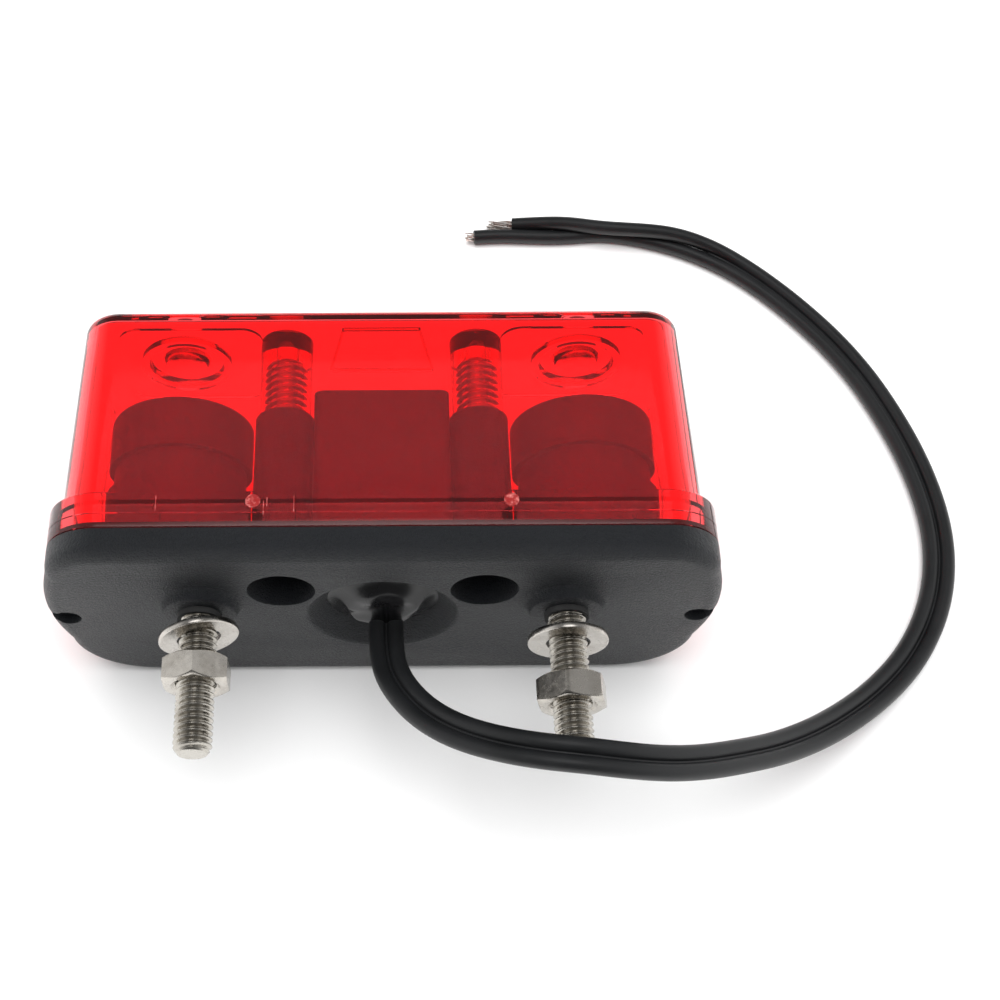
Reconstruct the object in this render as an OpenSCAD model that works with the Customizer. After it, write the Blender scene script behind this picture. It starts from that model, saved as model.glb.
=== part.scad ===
// Stud-mounted trailer tail light, standing on its long side.
// +X runs along the lamp, +Y points out through the lens, +Z is up.
// The origin is on the standing surface, under the middle of the lamp and its studs.
// Depths in the modules are measured along Y from the flat back face: + into the lamp, - out of its back.

/* [Housing] */
// Length of the lamp
body_w = 105.5; // [100:0.5:112]
// Height of the lamp as it stands
body_h = 43.5; // [42:0.5:48]
// Corner radius along the upper long side
corner_top = 8.7; // [8:0.1:12]
// Corner radius along the lower long side
corner_bottom = 13; // [9:0.5:16]
// How far each short side bows outwards
side_bow = 1.8; // [0.5:0.1:2.5]
// Depth of the black housing from its back face to the lens seam
rim_depth = 5; // [4.6:0.1:6]
// Size of the rounded edge around the back face
edge_round = 2.3; // [1:0.1:2.6]
// Thickness of the housing
wall = 2.2; // [2:0.1:2.4]

/* [Lens] */
// Depth from the back face to the front of the lens
lens_depth = 46.3; // [44:0.1:52]
// Depth of the lens flange
flange_depth = 6.2; // [5:0.1:7]
// Step from the flange in to the lens body
flange_step = 1.8; // [1.6:0.1:4]
// Draft of the lens body from its root to its front
lens_draft = 0.9; // [0.2:0.1:1]
// Thickness of the lens
lens_wall = 1.6; // [1.4:0.1:1.8]
// Size of the rounded edge around the lens front
lens_round = 2.4; // [1:0.1:3]

/* [Studs] */
// Distance between the two studs
stud_spacing = 56.5; // [54:0.1:60]
// Height of the studs above the standing surface
stud_z = 27.1; // [25:0.1:29]
// Nominal thread diameter
stud_d = 6; // [6:0.1:6.2]
// How far the studs stand out of the back face
stud_reach = 24.2; // [23:0.1:28]
// How far the moulded bosses stand out of the back face
boss_height = 1.8; // [1:0.1:2.4]
// Distance across the flats of a nut
nut_flats = 9.8; // [9.8:0.1:10.2]
// Height of a nut
nut_height = 4.3; // [4:0.1:4.4]
// Outer diameter of a washer
washer_d = 12.4; // [11.6:0.1:12.6]
// Thickness of a washer
washer_t = 1; // [0.8:0.1:1.2]

/* [Lens screws] */
// Distance between the two lens screws
screw_spacing = 31; // [30:0.1:32]
// Height of the lens screws above the standing surface
screw_z = 31.8; // [31:0.1:32]
// Radius of the screw recesses in the back
recess_r = 3.5; // [3.3:0.1:3.6]
// Radius of the mouth of each screw recess
recess_mouth_r = 5.2; // [5:0.1:5.3]

/* [Cable] */
// Diameter of one core of the twin cable
core_d = 2.7; // [2.6:0.1:2.8]
// Height of the middle of the cable outlet
outlet_z = 22.9; // [22.5:0.1:23.1]
// Radius of the mouth of the cable outlet
outlet_r = 11.6; // [11:0.1:11.8]
// Radius of the outlet behind its funnel
outlet_inner_r = 8.7; // [8.5:0.1:9]

/* [Lamp units] */
// Distance between the two lamp units
lamp_spacing = 65; // [64:0.5:66]
// Height of the lamp units above the standing surface
lamp_z = 26; // [25.8:0.1:26.2]
// Outer radius of a lamp unit's black well
well_r = 11.5; // [11:0.1:11.7]
// Depth from the back face to the front of the wells
well_front = 31; // [30:0.5:32]

/* [Hidden] */

$fn = 64;
eps = 0.01;
skin = 0.01;
back_y = (stud_reach - lens_depth) / 2;
corner_steps = 8;

// Lens and housing depths
flange_front = rim_depth + flange_depth;
lens_body_inset = flange_step;
lens_front_inset = flange_step + lens_draft;
lens_inner_front = lens_depth - lens_wall;
seal_groove = 1.2;

// Board and lamp units
board_back = 7;
board_t = 1.6;
board_front = board_back + board_t;
neck_r = well_r - 0.9;
led_hole_r = 5.2;
neck_back = 17.5;
neck_front = 22.5;
block_w = 21.4;
block_top = 37.2;
block_front = 32.2;
block_bottom = 10;
tube_r = 4.7;
tube_front = 29.6;
recess_depth = 24.6;
mouth_depth = 5;
mouth_wall = 0.6;
mouth_outer_r = recess_mouth_r + mouth_wall;
notch_z = 22.3;
notch_r = 2.3;
tube_hole_r = tube_r + 0.3;
post_r = 4.1;
post_bore_r = 1.55;
screw_r = 1.5;
cup_wall = 1.4;
standoffs = [[40, 31], [22, 13]];

// Fasteners
stud_r = stud_d / 2;
shank_r = stud_r - 0.2;
stud_chamfer = 0.9;
stud_head_t = 3.6;
nut_bore_r = stud_r + 0.05;
nut_circle_r = nut_flats / 2 / cos(30);
washer_bore_r = stud_r + 0.35;
boss_r = 5.5;
boss_root_r = 6;
collar_r = 3.4;
collar_front = boss_height + 0.9;
// Left and right: outer faces of the nuts, middles of the washers, tilt of the washers, turn of the nuts
nut_faces = [13.7, 17.1];
washer_faces = [5.2, 6.3];
washer_tilts = [11, 0];
nut_turns = [30, 16];

// Cable
core_r = core_d / 2;
pair_offset = 1.4;
plug_face = 0.8;
funnel_depth = 2.2;
funnel_slope = (outlet_r - outlet_inner_r) / funnel_depth;
tube_sides = 8;
// Route of the twin cable: x, depth, height and the twist of the pair about its own run, in degrees
route = [
    [0.5, 0.8, 19.4, 0], [0.5, -3, 19.6, 0], [1, -8.5, 20.8, 0], [3.5, -13.5, 22.6, 0],
    [7, -17.7, 24.6, 0], [11.5, -21, 26.8, 0], [17, -23.6, 29.2, 0], [23, -25.4, 31.1, 0],
    [29, -26.2, 31.5, 0], [35, -26.5, 30.1, 0], [41.5, -26, 27.1, 0], [48, -24.5, 23.3, 0],
    [55, -22, 18.7, 0], [62, -19.1, 14.1, 0], [69, -15.4, 9.9, 0], [75.5, -11.2, 6.5, 0],
    [82, -6.2, 3.7, 0], [88, -0.4, 2, 0], [92.5, 5.8, 1.4, 0], [95.7, 12.5, 1.4, 0],
    [97.6, 20, 1.4, 0], [98, 27.5, 1.4, 0], [97.2, 35, 1.4, 0], [95.5, 42.5, 1.4, 0],
    [93, 50, 1.4, 0], [89.8, 57.5, 1.4, 0], [85.8, 64.5, 1.4, 0], [81.2, 70.8, 1.4, 0],
    [76.2, 76.6, 1.4, 0], [70.5, 82, 1.5, 5], [64, 86.3, 2, 25], [57, 89, 2.6, 60],
    [50, 90.4, 2.8, 90], [43, 91.2, 2.8, 100], [36.5, 91.8, 2.4, 50], [31, 92.3, 1.8, 18],
    [26, 92.6, 1.4, 0]];
// The inner core runs on past the end of the outer one
inner_tail = [[22.5, 91.3, 1.4], [18.4, 91, 1.4]];

// ---------- shared shapes ----------

// Points of an arc about a centre
function arc(centre, radius, from, to, steps) = [for (k = [0 : steps])
    let (a = from + (to - from) * k / steps) centre + radius * [cos(a), sin(a)]];

// Right-hand end of the outline, from the lower side up to the upper one
function end_points(inset) =
    let (
        x_side = body_w / 2 - side_bow - inset,
        r_low = max(corner_bottom - inset, 0.6),
        r_high = max(corner_top - inset, 0.6),
        z_low = inset + r_low,
        z_high = body_h - inset - r_high)
    concat(
        arc([x_side - r_low, z_low], r_low, -90, 0, corner_steps),
        [for (k = [1 : 5]) let (t = k / 6)
            [x_side + side_bow * 4 * t * (1 - t), z_low + (z_high - z_low) * t]],
        arc([x_side - r_high, z_high], r_high, 0, 90, corner_steps));

// The whole outline, inset evenly from the lamp's edge
function outline(inset) =
    let (right = end_points(inset), n = len(right))
    concat(right, [for (k = [n - 1 : -1 : 0]) [-right[k][0], right[k][1]]]);

// Puts a part at the back face
module seat() {
    translate([0, back_y, 0]) children();
}

// A flat shape in X and Z, drawn out from one depth to another
module slab(from, to) {
    translate([0, to, 0])
        rotate([90, 0, 0])
            linear_extrude(to - from) children();
}

module lamp_slab(inset, from, to) {
    slab(from, to) polygon(outline(inset));
}

// A rod or cone along Y
module rod(x, z, from, to, r_from, r_to) {
    translate([x, to, z])
        rotate([90, 0, 0])
            cylinder(h = to - from, r1 = r_to, r2 = r_from);
}

module ring(x, z, from, to, outer, inner) {
    difference() {
        rod(x, z, from, to, outer, outer);
        rod(x, z, from - 1, to + 1, inner, inner);
    }
}

module rounded_plate(x, z, w, h, r, from, to) {
    slab(from, to)
        translate([x, z]) {
            square([w - 2 * r, h], center = true);
            square([w, h - 2 * r], center = true);
            for (sx = [-1, 1], sz = [-1, 1])
                translate([sx * (w / 2 - r), sz * (h / 2 - r)]) circle(r);
        }
}

// ---------- housing and lens ----------

module base_housing() {
    seat() color([0.12, 0.13, 0.14]) difference() {
        union() {
            hull() {
                lamp_slab(edge_round, 0, 1);
                lamp_slab(edge_round * 0.3, edge_round * 0.3, 1);
                lamp_slab(0, edge_round, rim_depth);
            }
            // lip that locates the lens
            lamp_slab(lens_body_inset + lens_wall + 0.2, edge_round, rim_depth + 2.2);
            for (side = [-1, 1]) {
                rod(side * stud_spacing / 2, stud_z, -boss_height, 1, boss_r, boss_root_r);
                for (p = standoffs)
                    rod(side * p[0], p[1], wall, board_back, 2, 2);
            }
            rod(0, outlet_z, wall, rim_depth + 2, outlet_inner_r + 1.4, outlet_inner_r + 1.4);
        }
        // inside of the housing, around the screw tubes and the outlet
        difference() {
            lamp_slab(lens_body_inset + lens_wall + 1.6, wall, rim_depth + 10);
            for (side = [-1, 1], p = standoffs)
                rod(side * p[0], p[1], 0, board_back, 2, 2);
            rod(0, outlet_z, 0, rim_depth + 2, outlet_inner_r + 1.4, outlet_inner_r + 1.4);
        }
        // funnel of the cable outlet
        rod(0, outlet_z, -1, funnel_depth, outlet_r + funnel_slope, outlet_inner_r);
        rod(0, outlet_z, 1, rim_depth + 3, outlet_inner_r, outlet_inner_r);
        for (side = [-1, 1]) {
            rod(side * stud_spacing / 2, stud_z, -boss_height - 1, wall + 1, stud_r, stud_r);
            // mouth of the screw recess, and the room its tube takes in the lip
            rod(side * screw_spacing / 2, screw_z, -1, wall + 1, recess_mouth_r, recess_mouth_r);
            rod(side * screw_spacing / 2, screw_z, wall, mouth_depth + 5, mouth_outer_r, mouth_outer_r);
            // drain notch in the short side
            rod(side * (body_w / 2 - 2.9), notch_z, -1, 1.6, notch_r, notch_r);
            translate([side * (body_w / 2 + 0.6), 0.3, notch_z]) cube([7, 2.6, 2 * notch_r], center = true);
        }
    }
}

// Tube down to a lens screw, with a wider cup at its mouth
module screw_tube(side) {
    x = side * screw_spacing / 2;
    difference() {
        union() {
            rod(x, screw_z, wall, mouth_depth + mouth_wall, mouth_outer_r, mouth_outer_r);
            rod(x, screw_z, wall, tube_front, tube_r, tube_r);
        }
        rod(x, screw_z, wall - 1, mouth_depth, recess_mouth_r, recess_mouth_r);
        rod(x, screw_z, wall - 1, recess_depth + 2.2, recess_r, recess_r);
        rod(x, screw_z, wall - 1, tube_front + 1, 1.9, 1.9);
    }
}

module screw_tube_left() {
    seat() color([0.12, 0.13, 0.14]) screw_tube(-1);
}

module screw_tube_right() {
    seat() color([0.12, 0.13, 0.14]) screw_tube(1);
}

module lens_shell() {
    difference() {
        union() {
            lamp_slab(0, rim_depth, flange_front);
            hull() {
                lamp_slab(lens_body_inset, flange_front - 1, flange_front);
                lamp_slab(lens_front_inset, lens_depth - lens_round, lens_depth - lens_round + skin);
                lamp_slab(lens_front_inset + lens_round * 0.3, lens_depth - lens_round * 0.3 - skin,
                    lens_depth - lens_round * 0.3);
                lamp_slab(lens_front_inset + lens_round, lens_depth - skin, lens_depth);
            }
        }
        hull() {
            lamp_slab(lens_body_inset + lens_wall, rim_depth - 1, rim_depth + 1);
            lamp_slab(lens_front_inset + lens_wall, lens_inner_front - skin, lens_inner_front);
        }
        // seat of the seal
        difference() {
            lamp_slab(seal_groove, rim_depth - 1, rim_depth + 1.5);
            lamp_slab(seal_groove + 1.8, rim_depth - 2, rim_depth + 3);
        }
    }
}

module lens() {
    seat() color([0.85, 0.03, 0.05, 0.55]) {
        lens_shell();
        for (side = [-1, 1]) {
            // post that takes a lens screw
            ring(side * screw_spacing / 2, screw_z, tube_front, lens_inner_front + eps,
                post_r, post_bore_r);
            // steps of the round optic in front of each lamp unit
            ring(side * lamp_spacing / 2, lamp_z, lens_inner_front - 1, lens_inner_front + eps, 7.4, 6.2);
            rod(side * lamp_spacing / 2, lamp_z, lens_inner_front - 1.4, lens_inner_front + eps, 3.3, 3.9);
            // small catch at the top of the flange
            translate([side * (body_w / 2 - side_bow - 0.3), flange_front - eps, body_h - corner_top])
                rotate([90, 0, 90]) cylinder(r = 1.2, h = 1.4, center = true);
        }
    }
}

module lens_seal() {
    seat() color([0.18, 0.18, 0.18]) difference() {
        lamp_slab(seal_groove + 0.1, rim_depth, rim_depth + 1.4);
        lamp_slab(seal_groove + 1.7, rim_depth - 1, rim_depth + 2);
    }
}

module reflex_panel() {
    seat() color([0.9, 0.1, 0.08, 0.7])
        slab(lens_inner_front - 1.2, lens_inner_front)
            polygon([[-8.6, 24.6], [8.6, 24.6], [6.2, 36.6], [-6.2, 36.6]]);
}

// ---------- electrics ----------

module led_board() {
    seat() color([0.85, 0.86, 0.82]) difference() {
        rounded_plate(0, 23, 88, 25, 2, board_back, board_front);
        for (side = [-1, 1])
            rod(side * screw_spacing / 2, screw_z, board_back - 1, board_front + 1, tube_hole_r, tube_hole_r);
        // holes for the two leads
        for (x = [-1.2, 1.2])
            rod(x, 19.3, board_back - 1, board_front + 1, 0.75, 0.75);
    }
}

module led_well(side) {
    x = side * lamp_spacing / 2;
    difference() {
        union() {
            rod(x, lamp_z, board_front, neck_back, well_r, well_r);
            rod(x, lamp_z, neck_back, neck_front, neck_r, neck_r);
            rod(x, lamp_z, neck_front, well_front, well_r, well_r);
        }
        rod(x, lamp_z, neck_front, well_front + eps, led_hole_r, well_r - 0.8);
        rod(x, lamp_z, neck_back - cup_wall - eps, neck_front + 1, led_hole_r, led_hole_r);
        rod(x, lamp_z, board_front - 1, neck_back - cup_wall, well_r - cup_wall, well_r - cup_wall);
    }
}

module led_well_left() {
    seat() color([0.1, 0.1, 0.11]) led_well(-1);
}

module led_well_right() {
    seat() color([0.1, 0.1, 0.11]) led_well(1);
}

module centre_block() {
    block_h = block_top - block_bottom;
    seat() color([0.1, 0.1, 0.11]) difference() {
        rounded_plate(0, block_bottom + block_h / 2, block_w, block_h, 1.5, board_front, block_front);
        rounded_plate(0, block_bottom + block_h / 2, block_w - 4, block_h - 4, 1.2,
            board_front - 1, block_front + 1);
        for (side = [-1, 1])
            rod(side * screw_spacing / 2, screw_z, board_front - 1, block_front + 1, tube_hole_r, tube_hole_r);
    }
}

module tail_led(side) {
    x = side * lamp_spacing / 2;
    rod(x, lamp_z, board_front, board_front + 1, 4.6, 4.6);
    rod(x, lamp_z, board_front + 1, board_front + 7, 4, 4);
    translate([x, board_front + 7, lamp_z]) sphere(4);
}

module tail_led_left() {
    seat() color([0.95, 0.9, 0.85]) tail_led(-1);
}

module tail_led_right() {
    seat() color([0.95, 0.9, 0.85]) tail_led(1);
}

module stop_leds() {
    seat() color([0.95, 0.9, 0.85])
        for (x = [-5, 0, 5]) {
            rod(x, 29, board_front, board_front + 4.5, 1.9, 1.9);
            translate([x, board_front + 4.5, 29]) sphere(1.9);
        }
}

module resistors() {
    seat() color([0.25, 0.45, 0.6])
        for (x = [-5.5, 5.5])
            translate([x, board_front + 1.2, 17]) cylinder(r = 1.2, h = 6, center = true);
}

module diode() {
    seat() color([0.08, 0.08, 0.08])
        translate([0, board_front + 1.3, 14.5]) rotate([0, 90, 0]) cylinder(r = 1.3, h = 5, center = true);
}

module inner_leads() {
    seat() color([0.7, 0.1, 0.1])
        for (x = [-1.2, 1.2])
            rod(x, 19.3, rim_depth, board_front + 1, 0.7, 0.7);
}

module potting_plug() {
    seat() color([0.06, 0.06, 0.07]) {
        rod(0, outlet_z, plug_face, funnel_depth, outlet_inner_r - 3, outlet_inner_r - 0.4);
        rod(0, outlet_z, funnel_depth, rim_depth, outlet_inner_r, outlet_inner_r);
    }
}

// ---------- studs and their fasteners ----------

module stud(side) {
    x = side * stud_spacing / 2;
    free_from = side < 0 ? nut_faces[0] : nut_faces[1];
    rod(x, stud_z, -stud_reach, stud_chamfer - stud_reach, stud_r - 0.7, stud_r);
    rod(x, stud_z, stud_chamfer - stud_reach, -free_from, stud_r, stud_r);
    rod(x, stud_z, -free_from, -boss_height, shank_r, shank_r);
    rod(x, stud_z, -boss_height, wall, stud_r, stud_r);
    translate([x, wall + stud_head_t, stud_z])
        rotate([90, 0, 0]) cylinder(h = stud_head_t, r = nut_circle_r, $fn = 6);
}

module stud_left() {
    seat() color([0.72, 0.7, 0.66]) stud(-1);
}

module stud_right() {
    seat() color([0.72, 0.7, 0.66]) stud(1);
}

module collar(side) {
    ring(side * stud_spacing / 2, stud_z, -collar_front, -boss_height, collar_r, shank_r);
}

module collar_left() {
    seat() color([0.3, 0.3, 0.32]) collar(-1);
}

module collar_right() {
    seat() color([0.3, 0.3, 0.32]) collar(1);
}

module washer(side) {
    i = side < 0 ? 0 : 1;
    translate([side * stud_spacing / 2, -washer_faces[i], stud_z - 0.15])
        rotate([90, 0, washer_tilts[i]])
            difference() {
                cylinder(h = washer_t, r = washer_d / 2, center = true);
                cylinder(h = washer_t + 1, r = washer_bore_r, center = true);
            }
}

module washer_left() {
    seat() color([0.8, 0.78, 0.74]) washer(-1);
}

module washer_right() {
    seat() color([0.8, 0.78, 0.74]) washer(1);
}

module nut(side) {
    i = side < 0 ? 0 : 1;
    translate([side * stud_spacing / 2, -nut_faces[i], stud_z])
        rotate([-90, nut_turns[i], 0])
            difference() {
                intersection() {
                    cylinder(h = nut_height, r = nut_circle_r, $fn = 6);
                    union() {
                        cylinder(h = 0.6, r1 = nut_flats / 2 - 0.1, r2 = nut_circle_r);
                        translate([0, 0, 0.6]) cylinder(h = nut_height - 1.2, r = nut_circle_r);
                        translate([0, 0, nut_height - 0.6])
                            cylinder(h = 0.6, r1 = nut_circle_r, r2 = nut_flats / 2 - 0.1);
                    }
                }
                translate([0, 0, -1]) cylinder(h = nut_height + 2, r = nut_bore_r);
            }
}

module nut_left() {
    seat() color([0.75, 0.73, 0.69]) nut(-1);
}

module nut_right() {
    seat() color([0.75, 0.73, 0.69]) nut(1);
}

module lens_screw(side) {
    x = side * screw_spacing / 2;
    rod(x, screw_z, recess_depth, recess_depth + 2.2, 3, 3);
    rod(x, screw_z, recess_depth + 2.2, tube_front + 9, screw_r, screw_r);
    rod(x, screw_z, tube_front + 9, tube_front + 11, screw_r, 0.4);
}

module lens_screw_left() {
    seat() color([0.6, 0.6, 0.6]) lens_screw(-1);
}

module lens_screw_right() {
    seat() color([0.6, 0.6, 0.6]) lens_screw(1);
}

// ---------- cable ----------

function unit(v) = v / norm(v);
function place(p) = [p[0], p[1] + back_y, p[2]];
// Direction of a path at one of its points
function along(path, k) = unit(path[min(k + 1, len(path) - 1)] - path[max(k - 1, 0)]);
function level_side(t) = unit([-t[1], t[0], 0]);
// Middle line of one core: side is +1 for the core on the inside of the bend
function core_path(side) = [for (k = [0 : len(route) - 1])
    let (
        middle = [for (p = route) place(p)],
        n = level_side(along(middle, k)),
        twist = route[k][3])
    middle[k] + side * pair_offset * (cos(twist) * n - sin(twist) * [0, 0, 1])];

// Rings of a round tube along a path
function tube_rings(path, r) = [for (k = [0 : len(path) - 1])
    let (
        t = k == 0 ? [0, -1, 0] : along(path, k),
        n = level_side(t),
        b = cross(t, n))
    for (s = [0 : tube_sides - 1])
        let (a = 360 * (s + 0.5) / tube_sides)
            path[k] + r * (cos(a) * n + sin(a) * b)];

module tube(path, r) {
    rings = len(path);
    last = (rings - 1) * tube_sides;
    faces = concat(
        [[for (s = [0 : tube_sides - 1]) s]],
        [for (k = [0 : rings - 2], s = [0 : tube_sides - 1])
            let (a = k * tube_sides + s, b = k * tube_sides + (s + 1) % tube_sides)
                [b, a, a + tube_sides, b + tube_sides]],
        [[for (s = [tube_sides - 1 : -1 : 0]) last + s]]);
    polyhedron(points = tube_rings(path, r), faces = faces, convexity = 10);
}

inner_path = concat(core_path(1), [for (p = inner_tail) place(p)]);
outer_path = core_path(-1);

module cable_core_outer() {
    color([0.1, 0.1, 0.11]) tube(outer_path, core_r);
}

module cable_core_inner() {
    color([0.1, 0.1, 0.11]) tube(inner_path, core_r);
}

// Tinned strands past the end of a core, held 1 mm inside it
module bare_end(path, length) {
    tip = path[len(path) - 1];
    t = along(path, len(path) - 1);
    turn = atan2(t[1], t[0]);
    translate(tip - t) rotate([0, 0, turn]) rotate([0, 90, 0]) cylinder(r = 0.8, h = length + 1);
}

module bare_end_outer() {
    color([0.78, 0.66, 0.55]) bare_end(outer_path, 6);
}

module bare_end_inner() {
    color([0.78, 0.66, 0.55]) bare_end(inner_path, 1.6);
}

base_housing();
screw_tube_left();
screw_tube_right();
lens();
lens_seal();
reflex_panel();
led_board();
led_well_left();
led_well_right();
centre_block();
tail_led_left();
tail_led_right();
stop_leds();
resistors();
diode();
inner_leads();
potting_plug();
stud_left();
stud_right();
collar_left();
collar_right();
washer_left();
washer_right();
nut_left();
nut_right();
lens_screw_left();
lens_screw_right();
cable_core_outer();
cable_core_inner();
bare_end_outer();
bare_end_inner();
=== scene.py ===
import math
import bpy
import bmesh
from mathutils import Matrix, Vector, noise


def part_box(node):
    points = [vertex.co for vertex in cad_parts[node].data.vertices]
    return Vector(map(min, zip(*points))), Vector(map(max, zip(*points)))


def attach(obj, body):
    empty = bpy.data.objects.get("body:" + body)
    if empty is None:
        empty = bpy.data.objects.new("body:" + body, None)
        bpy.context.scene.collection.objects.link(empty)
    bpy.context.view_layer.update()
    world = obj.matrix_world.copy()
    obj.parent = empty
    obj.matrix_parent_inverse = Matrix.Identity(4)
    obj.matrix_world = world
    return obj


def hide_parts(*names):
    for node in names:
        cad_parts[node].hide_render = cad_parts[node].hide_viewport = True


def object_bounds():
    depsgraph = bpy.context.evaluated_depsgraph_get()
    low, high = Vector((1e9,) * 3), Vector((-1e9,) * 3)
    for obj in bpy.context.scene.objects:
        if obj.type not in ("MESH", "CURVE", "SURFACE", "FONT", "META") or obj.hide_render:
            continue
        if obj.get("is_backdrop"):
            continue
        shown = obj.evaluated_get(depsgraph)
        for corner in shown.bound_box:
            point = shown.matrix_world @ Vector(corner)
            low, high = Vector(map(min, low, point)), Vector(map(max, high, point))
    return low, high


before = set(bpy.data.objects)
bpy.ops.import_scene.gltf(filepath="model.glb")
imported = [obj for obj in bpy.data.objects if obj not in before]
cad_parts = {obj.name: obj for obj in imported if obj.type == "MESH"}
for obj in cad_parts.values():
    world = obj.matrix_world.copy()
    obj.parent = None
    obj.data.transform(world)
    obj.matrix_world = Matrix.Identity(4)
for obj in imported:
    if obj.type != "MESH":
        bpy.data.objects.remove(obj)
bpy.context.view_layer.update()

MM = 0.001
sin, cos, pi = math.sin, math.cos, math.pi

# ---------------------------------------------------------------- places from the frame

base_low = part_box("base_housing")[0]
lens_low, lens_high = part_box("lens")
well_low, well_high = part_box("led_well_right")
stud_low, stud_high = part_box("stud_right")
plug_low, plug_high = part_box("potting_plug")
panel_low, panel_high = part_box("reflex_panel")
board_low, board_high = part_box("led_board")
screw_low, screw_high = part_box("lens_screw_right")

BODY_W = (lens_high.x - lens_low.x) / MM
BODY_H = (lens_high.z - lens_low.z) / MM
BOSS_H, FLANGE_H = 1.8, 6.2
BACK = base_low.y / MM + BOSS_H
SEAM = lens_low.y / MM - BACK
FRONT = lens_high.y / MM - BACK
STUD_X = (stud_low.x + stud_high.x) / 2 / MM
STUD_Z = (stud_low.z + stud_high.z) / 2 / MM
TIP = BACK - stud_low.y / MM
WELL_X = (well_low.x + well_high.x) / 2 / MM
WELL_Z = (well_low.z + well_high.z) / 2 / MM
OUTLET_Z = (plug_low.z + plug_high.z) / 2 / MM
SCREW_X = (screw_low.x + screw_high.x) / 2 / MM
SCREW_Z = (screw_low.z + screw_high.z) / 2 / MM
CORNER_TOP, CORNER_BOTTOM, BOW = 8.7, 13, 1.8
FLANGE = SEAM + FLANGE_H

# ---------------------------------------------------------------- camera

CAMERA_PLACE = (0.00011, -0.11131, 0.2455)
CAMERA_DOWN, CAMERA_ROLL = 61.52, -0.33
SENSOR, LENS_RATIO, SHIFT_X = 36, 1.5503, 0.117

cam_data = bpy.data.cameras.new("camera")
cam = bpy.data.objects.new("camera", cam_data)
bpy.context.scene.collection.objects.link(cam)
cam.matrix_world = (Matrix.Translation(CAMERA_PLACE)
                    @ Matrix.Rotation(math.radians(90 - CAMERA_DOWN), 4, "X")
                    @ Matrix.Rotation(math.radians(CAMERA_ROLL), 4, "Z"))
cam_data.sensor_width = SENSOR
cam_data.lens = SENSOR * LENS_RATIO
cam_data.shift_x = SHIFT_X
cam_data.clip_start = 0.01
cam_data.clip_end = 20
bpy.context.scene.camera = cam
bpy.context.scene.view_settings.view_transform = "Standard"

# ---------------------------------------------------------------- shader helpers


def new_material(name):
    mat = bpy.data.materials.new(name)
    mat.use_nodes = True
    nt = mat.node_tree
    nt.nodes.clear()
    out = nt.nodes.new("ShaderNodeOutputMaterial")
    bsdf = nt.nodes.new("ShaderNodeBsdfPrincipled")
    nt.links.new(bsdf.outputs[0], out.inputs[0])
    return mat, nt, bsdf, out


def add(nt, kind, **values):
    node = nt.nodes.new(kind)
    for key, value in values.items():
        if key in node.inputs:
            node.inputs[key].default_value = value
        else:
            setattr(node, key, value)
    return node


def coords(nt):
    return add(nt, "ShaderNodeTexCoord").outputs["Object"]


def noise_tex(nt, scale, detail=3.0, rough=0.5, vector=None, distortion=0.0):
    node = add(nt, "ShaderNodeTexNoise", Scale=scale, Detail=detail, Roughness=rough, Distortion=distortion)
    nt.links.new(vector or coords(nt), node.inputs["Vector"])
    return node.outputs["Fac"]


def ramp(nt, factor, stops):
    node = nt.nodes.new("ShaderNodeValToRGB")
    nt.links.new(factor, node.inputs[0])
    el = node.color_ramp.elements
    while len(el) < len(stops):
        el.new(0.5)
    for e, (pos, col) in zip(el, stops):
        e.position = pos
        e.color = (*col, 1) if len(col) == 3 else (col[0], col[0], col[0], 1)
    return node.outputs["Color"]


def remap(nt, factor, low, high, to_low, to_high):
    node = add(nt, "ShaderNodeMapRange")
    nt.links.new(factor, node.inputs["Value"])
    for key, value in (("From Min", low), ("From Max", high), ("To Min", to_low), ("To Max", to_high)):
        node.inputs[key].default_value = value
    return node.outputs["Result"]


def bump(nt, bsdf, height, strength, distance, normal=None):
    node = add(nt, "ShaderNodeBump", Strength=strength, Distance=distance)
    nt.links.new(height, node.inputs["Height"])
    if normal is not None:
        nt.links.new(normal, node.inputs["Normal"])
    nt.links.new(node.outputs[0], bsdf.inputs["Normal"])
    return node.outputs[0]


def grained_plastic(name, dark, light, grain, strength, rough_low, rough_high):
    """Moulded black plastic with a fine spark-eroded grain."""
    mat, nt, bsdf, out = new_material(name)
    fine = noise_tex(nt, grain, 3.0, 0.7)
    broad = noise_tex(nt, 90, 4.0, 0.6)
    nt.links.new(ramp(nt, broad, [(0.3, dark), (0.7, light)]), bsdf.inputs["Base Color"])
    nt.links.new(remap(nt, fine, 0.35, 0.65, rough_low, rough_high), bsdf.inputs["Roughness"])
    first = bump(nt, bsdf, fine, strength, 0.0006)
    bump(nt, bsdf, noise_tex(nt, grain * 0.35, 2.0, 0.5), strength * 0.35, 0.00025, first)
    return mat


def metal(name, light, dark, rough, bump_strength=0.15):
    """Bare metal with fine marks and a little staining."""
    mat, nt, bsdf, out = new_material(name)
    bsdf.inputs["Metallic"].default_value = 1.0
    marks = noise_tex(nt, 900, 3.0, 0.6)
    stain = noise_tex(nt, 260, 5.0, 0.65)
    nt.links.new(ramp(nt, stain, [(0.3, dark), (0.55, light)]), bsdf.inputs["Base Color"])
    nt.links.new(remap(nt, marks, 0.3, 0.7, rough * 0.7, rough * 1.35), bsdf.inputs["Roughness"])
    bump(nt, bsdf, marks, bump_strength, 0.00002)
    return mat


# ---------------------------------------------------------------- mesh helpers


def shade(mesh, angle=32):
    """Smooth shading with the sharper edges kept."""
    bm = bmesh.new()
    bm.from_mesh(mesh)
    limit = math.radians(angle)
    for f in bm.faces:
        f.smooth = True
    for e in bm.edges:
        e.smooth = len(e.link_faces) == 2 and e.calc_face_angle(0) < limit
    bm.to_mesh(mesh)
    bm.free()


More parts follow.
